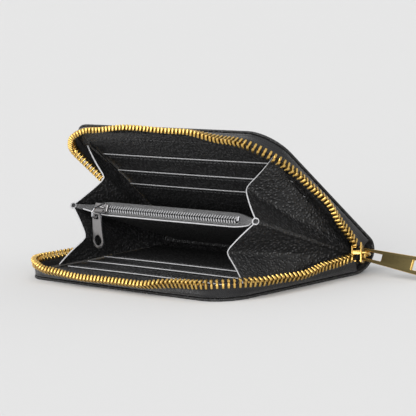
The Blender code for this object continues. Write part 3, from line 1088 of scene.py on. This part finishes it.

# %% [markdown]
# ## The gussets
#
# At each end a folded sheet of leather joins the two covers, so that nothing falls out. It
# goes from the lower cover inwards to a fold, out to a ridge beside the coin pocket, in to
# a second fold and out to the upper cover. Each half is a grid on a smooth W shaped line
# that grows with the distance from the spine, thickened, with its cut front edge light.

# %% Gusset surfaces
gusset_root, gusset_reach = 1.0 * mm, 65.0 * mm
gusset_leather = 0.7 * mm
roll_radius = 1.45 * mm


def gusset_point(share, across, half, end):
    """From the cover's edge at across 0, over the inward fold, to the ridge at across 1."""
    distance = gusset_root + (gusset_reach - gusset_root) * share
    out = (63.4 + 4.6 * ease(share, 0.7, 1.0)) * mm
    fold_x = (66.0 - 15.5 * ease(share, 0.0, 1.15)) * mm
    ridge_x = (66.6 + 0.2 * share) * mm
    upper = half == "upper"
    inner = (5.3 - 1.0 * ease(share, 0.6, 1.0)) * mm
    edge_z = wallet_thickness - inner if upper else inner
    sweep = (9.0 if upper else 3.0) * mm * ease(share, 0.35, 1.0)
    edge = opened_point((out, fold_line.y - distance - sweep, edge_z), 2 if upper else 0)
    ridge = opened_point(
        (ridge_x, fold_line.y - distance, middle_z + (0.5 if upper else -0.5) * mm), 1
    )
    fold = edge.lerp(ridge, 0.5)
    fold.x = fold_x
    fold += pocket_back * (0.5 * sweep - 1.5 * mm * share)
    if across < 0.5:
        part = across * 2
        line = edge.lerp(fold, part)
        sag = math.sin(part * math.pi) * 0.9 * mm * share
    else:
        part = across * 2 - 1
        line = fold.lerp(ridge, part)
        sag = -math.sin(part * math.pi) * 0.7 * mm * share
    near_fold = max(0.0, 1 - abs(across - 0.5) / 0.09)
    line.x += 1.1 * mm * near_fold**2 * share + sag
    line.x *= end
    return line


def gusset_half(end_name, end, half):
    piece = add_sheet(
        f"{end_name}_gusset_{half}_fold", 44, 40,
        lambda u, v: gusset_point(u, v, half, end), (60 * mm, 36 * mm),
    )
    edit(piece)
    bpy.ops.mesh.select_all(action="SELECT")
    if (end > 0) == (half == "upper"):
        bpy.ops.mesh.flip_normals()
    leave_edit()
    thicken(piece, gusset_leather)
    piece.data.materials.append(lining_leather)
    front = [gusset_point(1.0, v / 20, half, end) for v in range(21)]
    paint_faces(
        piece, raw_edge,
        lambda c, n: n.y < -0.55 and min((c - p).length for p in front) < 1.2 * mm,
    )
    finish_piece(smooth(piece, 45), lining_leather, None,
                 [f"{end_name}_gusset_{half}"])
    if half == "upper":
        near = opened_point((0, 0, middle_z + 1 * mm), 1)
        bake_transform(piece)
    else:
        near = opened_point((0, 0, middle_z - 1 * mm), 1)
        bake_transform(piece)
    return piece


for end_name, end in ends:
    for half in ("lower", "upper"):
        gusset = gusset_half(end_name, end, half)
print("a gusset half has", len(gusset.data.polygons), "faces")


# %% The rolled ridges
def ridge_roll(end_name, end):
    """The rolled edge where both gusset halves meet, with an open end at the mouth."""
    points = [gusset_point(i / 8, 1.0, "lower", end) + pocket_up * 0.5 * mm for i in range(9)]
    roll = add_rod(end_name + "_ridge_roll", points, roll_radius, sides=4)
    bevelled(roll, 0.25 * mm, 2, 60)
    finish_piece(smooth(roll, 50), lining_leather, "coin_pocket")
    tip = points[-1] - pocket_back * 0.1 * mm
    deselect_all()
    bpy.ops.mesh.primitive_torus_add(
        major_radius=roll_radius, minor_radius=0.34 * mm, major_segments=28, minor_segments=8,
        location=tip, rotation=(math.radians(90) - half_opening, 0, math.radians(30)),
    )
    ring = settle(fresh(end_name + "_ridge_ring"))
    finish_piece(smooth(ring), raw_edge, "coin_pocket")


for end_name, end in ends:
    ridge_roll(end_name, end)
print("ridges are rolled")

# %% [markdown]
# ## The coin pocket
#
# The coin pocket is a flat bag between the gussets. Its two leather leaves come together at
# the ends, so its mouth has the shape of a long lens. The leaves are grids on that shape,
# thickened inwards. The upper leaf is dark all over, and the lower leaf reaches a little
# further forward and shows its light cut edge.

# %% Pocket leaves
pocket_half = 65.5 * mm
pocket_front, pocket_back_y = -20.5 * mm, 31.0 * mm
coin_zip_z = middle_z + 0.8 * mm


def pocket_height(x, side):
    """Half thickness of the lens at x: full in the middle and closed at its ends."""
    full = 4.6 * mm if side else 2.9 * mm
    shut = 0.9 * mm
    return shut + (full - shut) * (1 - ease(abs(x), 45 * mm, 67 * mm))


def mouth_sweep(x):
    """How far the mouth comes forward at x, where its ends meet the ridges."""
    return 5.5 * mm * ease(abs(x), 55 * mm, 67 * mm)


def pocket_leaf(name, side):
    sign = 1 if side else -1
    reach = 61.5 * mm

    def place(u, v):
        x = (2 * u - 1) * reach
        front = pocket_front - (0 if side else 1.5 * mm) - mouth_sweep(x)
        y = front + (pocket_back_y - front) * v
        crown = 0.35 * mm * math.sin(math.pi * v) * math.cos(math.pi * x / (2 * pocket_half))
        return Vector((x, y, middle_z + sign * (pocket_height(x, side) - 0.35 * mm + crown)))

    piece = add_sheet(name, 60, 16, place, (2 * reach, 51 * mm))
    thicken(piece, 0.7 * mm)
    bevelled(piece, 0.22 * mm, 2, 60)
    piece.data.materials.append(lining_leather)
    if not side:
        paint_faces(piece, raw_edge, lambda c, n: n.y < -0.4 and c.y < pocket_front - 1.2 * mm)
    return smooth(opened(piece, 1), 40)


for side_name, side in sides:
    leaf = pocket_leaf(f"pocket_{side_name}_leaf", side)
    node = f"coin_pocket_{side_name}_leaf"
    finish_piece(leaf, lining_leather, "coin_pocket", [node])
finish_piece(frame["nodes"]["coin_pocket_back_fold"], lining_leather)
print("the pocket's mouth is", round(2 * pocket_half / mm), "mm wide")

# %% [markdown]
# ## The ends of the spine
#
# Between the spine's round and the covers' inner faces the ends would stand open. A small web
# of lining leather closes each end, in two halves that follow the halves of the spine. It
# is a grid between the spine's line and a straight one, and it bellies inwards.

# %% The webs that close the spine's ends
web_root, web_inset, web_belly = 34.5 * mm, 5.5 * mm, 3.0 * mm


def spine_web(end_name, end, half, side):
    """Leather between the spine and the line that joins the covers' inner faces."""
    low = Vector((0, web_root, 4.5 * mm))
    high = opened_point((0, web_root, wallet_thickness - 4.5 * mm), 2)

    def place(u, v):
        share = 0.5 * (u + side)
        point = spine_point(share).lerp(low.lerp(high, share), v)
        point.x = end * (half_length - web_inset - web_belly * math.sin(math.pi * v))
        return point

    piece = add_sheet(f"{end_name}_spine_web_{half}", 12, 8, place, (14 * mm, 10 * mm))
    finish_piece(smooth(thicken(piece, 0.6 * mm)), lining_leather)
    bend_over_spine(piece, side)
    return piece


for end_name, end in ends:
    for half, side in sides:
        web = spine_web(end_name, end, half, side)
print("a web has", len(web.data.polygons), "faces")

# %% [markdown]
# ## The coin zip
#
# A light nylon zip closes the pocket's mouth: two grey twill tapes with a coil along each
# inner edge. The tapes are grids that fill the lens and narrow at both ends. A coil is one
# long spiral, but only its loops show, so one small slanted loop is copied along each edge.

# %% Coin zip tapes
def coin_tape(name, side):
    sign = 1 if side else -1

    def place(u, v):
        x = (2 * u - 1) * pocket_half
        narrow = 1 - ease(abs(x), 48 * mm, 65 * mm)
        outer = middle_z + sign * (pocket_height(x, side) - (0.3 if side else 1.0) * mm * narrow)
        zip_z = middle_z + (coin_zip_z - middle_z) * narrow
        apart = 1 - (ease(x, 47.8 * mm, 50.0 * mm) if x > 0 else ease(-x, 54.0 * mm, 56.5 * mm))
        inner = zip_z + sign * (0.1 + 1.35 * apart) * mm * narrow
        belly = 0.25 * mm * math.sin(math.pi * v)
        front = pocket_front - 0.5 * mm - belly - mouth_sweep(x)
        return Vector((x, front, inner + (outer - inner) * v))

    piece = add_sheet(name, 90, 8, place, (2 * pocket_half, 4 * mm))
    return smooth(opened(thicken(piece, 0.35 * mm), 1), 60)


for side_name, side in sides:
    tape = coin_tape("coin_tape_" + side_name, side)
    finish_piece(tape, grey_tape, "coin_pocket", ["coin_zip_tape_" + side_name])

# %% Coil loops
one_loop = stretched_ball("one_loop", (0.90 * mm, 0.42 * mm, 2.3 * mm), 8, 5)
coil_start, coil_pitch, coil_loops = -54.0 * mm, 1.8 * mm, 57


def coil_row(name, side):
    sign = 1 if side else -1
    slant = math.radians(42 * sign)
    right = Vector((1, 0, 0))
    up = pocket_up * math.cos(slant) + right * math.sin(slant)
    along = right * math.cos(slant) - pocket_up * math.sin(slant)
    y, z = pocket_front - 1.05 * mm, coin_zip_z + sign * 0.90 * mm
    places = [
        (opened_point((coil_start + i * coil_pitch, y, z), 1), along, up) for i in range(coil_loops)
    ]
    return copies_along(name, one_loop, places)


for side_name, side in sides:
    coil = smooth(coil_row("coin_coil_" + side_name, side), 60)
    finish_piece(coil, nylon_coil, "coin_pocket", ["coin_zip_coil_" + side_name])
finish_piece(frame["nodes"]["coin_zip_stop"], bright_gunmetal)
for model in (one_loop, one_tooth, one_stitch):
    bpy.data.objects.remove(model)
print("coin zip is in")

# %% [markdown]
# ## The coin slider and its pull
#
# The small gunmetal slider has a shield shaped top plate, wide at the end where the coils
# enter and narrow at the other, with two side rails, and an arch over it that holds the
# bail. The pull hangs from the bail: a flat plate that widens to a round end with a round
# hole. It is cut from a plate with rounded corners, and then all its rims are bevelled, so
# that they catch the light.

# %% Coin slider
coin_x = -50.0 * mm
coin_y = pocket_front - 0.5 * mm


def shield(name, low, high, axis, narrow, rounding):
    """A block whose far end along x or y is narrower across z."""
    piece = add_block(name, low, high)
    middle = (Vector(low) + Vector(high)) / 2
    edit(piece)
    direction = Vector((1, 0, 0)) if axis == "x" else Vector((0, 1, 0))
    select_faces(piece, lambda centre, normal: normal.dot(direction) > 0.9)
    bpy.ops.transform.resize(value=(1, 1, narrow), center_override=middle)
    leave_edit()
    bevelled(piece, rounding, 3)
    return piece


plate_y = coin_y - 1.5 * mm


def coin_spot(along, out, up):
    """A point near the coin slider, in mm from the middle of its plate's inner face."""
    return Vector((coin_x + along * mm, plate_y + out * mm, coin_zip_z + up * mm))


coin_parts = [
    shield("plate", coin_spot(-5, -0.8, -2.6), coin_spot(5, 0, 2.6), "x", 0.74, 0.35 * mm)
]
for name, low_z, high_z in (("rail_low", -2.55, -1.75), ("rail_high", 1.75, 2.55)):
    low, high = coin_spot(-4.6, -0.4, low_z), coin_spot(3.0, 1.15, high_z)
    coin_parts.append(shield(name, low, high, "x", 0.8, 0.2 * mm))
arch_line = ((-3.4, -0.3), (-3.1, -1.9), (0, -2.3), (3.1, -1.9), (3.4, -0.3))
arch_points = [coin_spot(along, out, 0) for along, out in arch_line]
coin_parts.append(add_rod("arch", arch_points, 0.55 * mm))
coin_slider = smooth(opened(joined("coin_slider_shield", coin_parts), 1), 40)
finish_piece(coin_slider, dark_gunmetal, "coin_slider", ["coin_slider_body"])
finish_piece(frame["nodes"]["coin_slider_bail"], bright_gunmetal)
print("coin slider:", len(coin_slider.data.polygons), "faces")

# %% Coin pull
pull_joint = Vector(joints["coin_pull_swing"]["pos_m"])
pull_low, pull_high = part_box("coin_pull")


def add_disc(name, centre, radius, depth, sides=40):
    """A round plate that faces y."""
    deselect_all()
    bpy.ops.mesh.primitive_cylinder_add(
        vertices=sides, radius=radius, depth=depth, location=centre,
        rotation=(math.radians(90), 0, 0),
    )
    return settle(fresh(name))


def coin_pull_plate():
    """A plate, narrow at its eye and rounded at its end, with a slot and a round hole."""
    x, y = pull_joint.x, (pull_low.y + pull_high.y) / 2
    end_radius = 4.05 * mm
    centre = Vector((x, y, pull_low.z + end_radius))
    neck = add_block("coin_pull_plate", (x - 3.9 * mm, y - 0.45 * mm, centre.z),
                     (x + 3.9 * mm, y + 0.45 * mm, pull_high.z))
    edit(neck)
    select_faces(neck, lambda c, n: n.z > 0.9)
    bpy.ops.transform.resize(value=(0.74, 1, 1), center_override=(x, y, pull_high.z))
    select_edges(neck, lambda a, b: min(a.z, b.z) > pull_high.z - 1e-5 and abs(a.y - b.y) > 1e-5)
    bpy.ops.mesh.bevel(offset=1.3 * mm, segments=5, affect="EDGES")
    leave_edit()
    end = add_disc("round_end", centre, end_radius, 0.9 * mm)
    add_modifier(neck, "BOOLEAN", operation="UNION", object=end, solver="EXACT")
    bpy.data.objects.remove(end)
    hole = add_disc("hole", centre + Vector((0, 0, 0.1 * mm)), 2.7 * mm, 3 * mm)
    eye = add_block("eye", (x - 1.4 * mm, y - 2 * mm, pull_joint.z - 1.4 * mm),
                    (x + 1.4 * mm, y + 2 * mm, pull_joint.z + 1.2 * mm), 0.4 * mm)
    cut_through(neck, hole, eye)
    bevelled(neck, 0.2 * mm, 2, 50)
    return smooth(neck, 30)


coin_pull = coin_pull_plate()
coin_pull.data.materials.append(dark_gunmetal)
paint_faces(coin_pull, bright_gunmetal, lambda c, n: abs(n.y) < 0.97)
finish_piece(coin_pull, dark_gunmetal, "coin_pull", ["coin_pull"])
print("coin pull:", len(coin_pull.data.polygons), "faces")

# %% [markdown]
# ## The big slider and its pull
#
# The big slider sits on the right side, beside the spine. It is two brass shields, one on
# each face of the zip, joined by a wedge between the two rows of teeth, with rails along
# the edges and an arch on the outside for the pull. The pull is a long bar that widens
# towards its free end, with a painted reflection on its faces, a dark olive brown brass for
# the dark surroundings they mirror, and bright bevelled rims, and it has a window near each end.

# %% Big slider
slider_turn = math.radians(35)
droop = math.radians(5)


def swing_out(piece):
    """Turns a piece of the slider towards the open mouth, as the zip's own curve does."""
    return turned(piece, -slider_turn, "Z", slider_middle + Vector((2 * mm, 0, 0)))


def slider_spot(out, along, up):
    """A point near the big slider, in mm from its middle, drawn shut."""
    return Vector((slider_x + out * mm, slider_y + along * mm, slider_z + up * mm))


slider_parts = [
    shield(name, slider_spot(*low), slider_spot(*high), "y", narrow, 0.3 * mm)
    for name, low, high, narrow in (
        ("outer_shield", (1.7, -5, -5), (2.5, 5, 5), 0.72),
        ("inner_shield", (-2.5, -5, -4), (-1.7, 5, 4), 0.72),
        ("wedge", (-2.0, -4.7, -1.1), (2.0, -0.5, 1.1), 0.3),
    )
]
for low_z, high_z in ((-3.7, -3.0), (3.0, 3.7)):
    for low_x, high_x in ((-2.3, -0.75), (0.75, 2.3)):
        low, high = slider_spot(low_x, -1.0, low_z), slider_spot(high_x, 4.6, high_z)
        slider_parts.append(add_block("rail", low, high, 0.2 * mm))
slider = opened(joined("zip_slider", slider_parts), 1)
swing_out(slider)
finish_piece(smooth(slider, 40), polished_brass, "outer_slider", ["outer_slider_body"])
bridge_line = ((2.4, -3.2), (4.3, -3.0), (5.1, -1.8), (5.2, 1.8), (4.3, 3.0), (2.4, 3.2))
bridge_points = [opened_point(slider_spot(out, along, 0), 1) for out, along in bridge_line]
bridge = swing_out(add_rod("slider_bridge", bridge_points, 0.62 * mm, sides=4))
finish_piece(smooth(bridge), polished_brass, "outer_slider", ["outer_slider_bridge"])
print("slider:", len(slider.data.polygons), "faces")


# %% Big pull
def big_pull():
    """A bar along x that widens to its free end, drawn flat at the pivot and then turned."""
    pivot = slider_spot(3.9, 0, 0)
    near, far, thick = pivot.x - 1.0 * mm, pivot.x + 37.0 * mm, 0.75 * mm
    bar = add_block("zip_pull", (near, slider_y - thick, slider_z - 2.9 * mm),
                    (far, slider_y + thick, slider_z + 2.9 * mm))
    edit(bar)
    select_faces(bar, lambda c, n: n.x > 0.9)
    bpy.ops.transform.resize(value=(1, 1, 1.5), center_override=(far, slider_y, slider_z))
    for x in (near, far):
        radius = 1.0 * mm if x == near else 1.4 * mm
        select_edges(
            bar, lambda a, b: abs(a.y - b.y) > 1e-5 and max(abs(a.x - x), abs(b.x - x)) < 1e-5
        )
        bpy.ops.mesh.bevel(offset=radius, segments=5, affect="EDGES")
    leave_edit()
    cut_through(bar, *[
        add_block("window", pivot + Vector((low_x, -3, -half)) * mm,
                  pivot + Vector((high_x, 3, half)) * mm, 0.3 * mm)
        for low_x, high_x, half in ((0.4, 11.6, 1.7), (31.2, 35.6, 2.4))
    ])
    bevelled(bar, 0.42 * mm, 3, 50)
    return smooth(opened(turned(bar, -droop, "Y", pivot), 1), 30)


pull = big_pull()
pull.data.materials.append(polished_brass)
# painted reflection: the pull's two flat faces get the dark olive brown brass
paint_faces(pull, painted_reflection_brass, lambda c, n: abs(n.dot(pocket_back)) > 0.97)
finish_piece(pull, polished_brass, "outer_pull", ["outer_pull"])
print("pull:", len(pull.data.polygons), "faces")

# %% [markdown]
# ## Floor, light and camera
#
# The wallet lies on a plain pale floor, so large that its end lies far behind, in front of
# an even pale sky. The light is soft and comes from three suns as wide as windows, because
# black leather and brass show the shape of every lamp. The camera stands to the right of
# the mouth and a little above the table, far off, with a long lens.

# %% Floor
def lay_floor():
    deselect_all()
    bpy.ops.mesh.primitive_plane_add(size=40.0, location=(0, 0, -0.05 * mm))
    floor = fresh("studio_floor")
    finish, shader = new_finish("studio_paper", 0.9, Specular_IOR_Level=0.1)
    cloud = noise(finish, 3.0)
    coloured(finish, shader, between(finish, cloud, (0.595, 0.595, 0.595), (0.60, 0.60, 0.60)))
    floor.data.materials.append(finish)


lay_floor()

# %% Lights
scene = bpy.context.scene
scene.view_settings.view_transform = "Standard"
world = bpy.data.worlds.new("studio")
scene.world = world
world.use_nodes = True
world.node_tree.nodes["Background"].inputs["Color"].default_value = (0.79, 0.79, 0.79, 1)
world.node_tree.nodes["Background"].inputs["Strength"].default_value = 1.0


def towards(turn, rise):
    """The direction from the wallet to a place at a turn to the right of the mouth."""
    return Vector((
        math.sin(turn) * math.cos(rise), -math.cos(turn) * math.cos(rise), math.sin(rise)
    ))


def soft_sun(name, azimuth, elevation, strength, softness):
    """Light from one side, as even as from a far, wide window."""
    deselect_all()
    bpy.ops.object.light_add(type="SUN", location=(0, 0, 0.5))
    lamp = fresh(name)
    lamp.data.energy = strength
    lamp.data.angle = math.radians(softness)
    turn, rise = math.radians(azimuth), math.radians(elevation)
    lamp.rotation_euler = towards(turn, rise).to_track_quat("Z", "Y").to_euler()


soft_sun("high_window", -20, 50, 1.3, 30)
soft_sun("low_window", 15, 16, 1.3, 40)
soft_sun("front_fill", 48, 3, 2.6, 50)

# %% Camera
azimuth, elevation, roll = math.radians(48.3), math.radians(9.24), math.radians(-3.43)
distance = 1.0257
lens, sensor = 180.17, 36
aim_right, aim_up = 0.00666, 0.03185


def place_camera():
    back = towards(azimuth, elevation)
    right = Vector((math.cos(azimuth), math.sin(azimuth), 0))
    up = back.cross(right)
    rolled_right = right * math.cos(roll) + up * math.sin(roll)
    rolled_up = back.cross(rolled_right)
    look = (-back + rolled_right * aim_right + rolled_up * aim_up).normalized()
    camera_right = (rolled_right - look * rolled_right.dot(look)).normalized()
    camera_up = camera_right.cross(look)
    deselect_all()
    bpy.ops.object.camera_add(location=back * distance)
    camera = fresh("studio_camera")
    turn = Matrix((camera_right, camera_up, -look)).transposed()
    camera.rotation_euler = turn.to_euler()
    camera.data.lens = lens
    camera.data.sensor_width = sensor
    camera.data.clip_start, camera.data.clip_end = 0.05, 20
    scene.camera = camera


place_camera()
print("camera is set")
